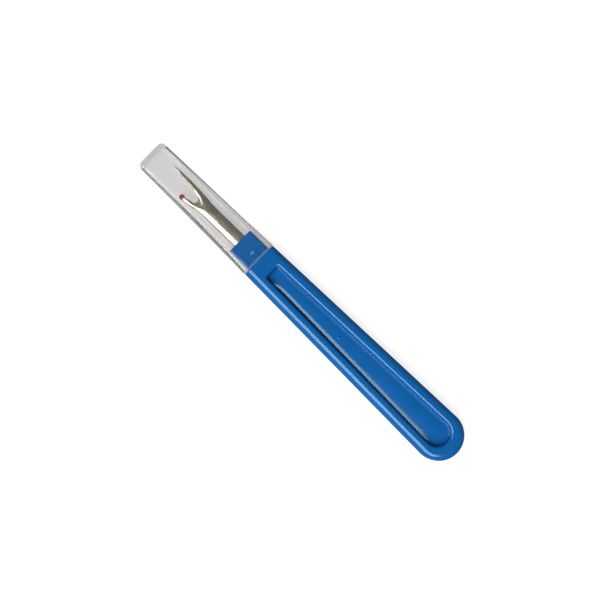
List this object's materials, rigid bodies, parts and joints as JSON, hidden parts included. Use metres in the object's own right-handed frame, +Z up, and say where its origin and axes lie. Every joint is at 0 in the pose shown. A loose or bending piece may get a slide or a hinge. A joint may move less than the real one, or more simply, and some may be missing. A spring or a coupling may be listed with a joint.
{
  "type": "seam ripper",
  "caption": "Flat tapered plastic handle with a forked steel blade, a beaded short prong and a clear push-on cap that slides off along the blade.",
  "frame": {"origin": "centre of the capped tool's footprint, on the surface that it lies on", "axes": "+X along the tool toward the blade's point, +Y toward the beaded prong, +Z up through the thickness, with the tool lying on its broad face"},
  "size_m": [0.135, 0.0162, 0.0074],
  "materials": {
    "handle_plastic": "injection moulded, glossy",
    "blade_steel": "nickel plated, bright, with a faint warm tint",
    "bead_plastic": "glossy",
    "cap_clear": "clear rigid plastic, polished"
  },
  "bodies": {
    "ripper": {"handle": "handle_plastic", "fork_blade": "blade_steel", "ball_tip": "bead_plastic"},
    "cap": {"cap": "cap_clear"}
  },
  "joints": [
    {"name": "cap_slide", "type": "slide", "parent": "ripper", "child": "cap", "axis": [1, 0, 0], "range_m": [0, 0.05]}
  ]
}
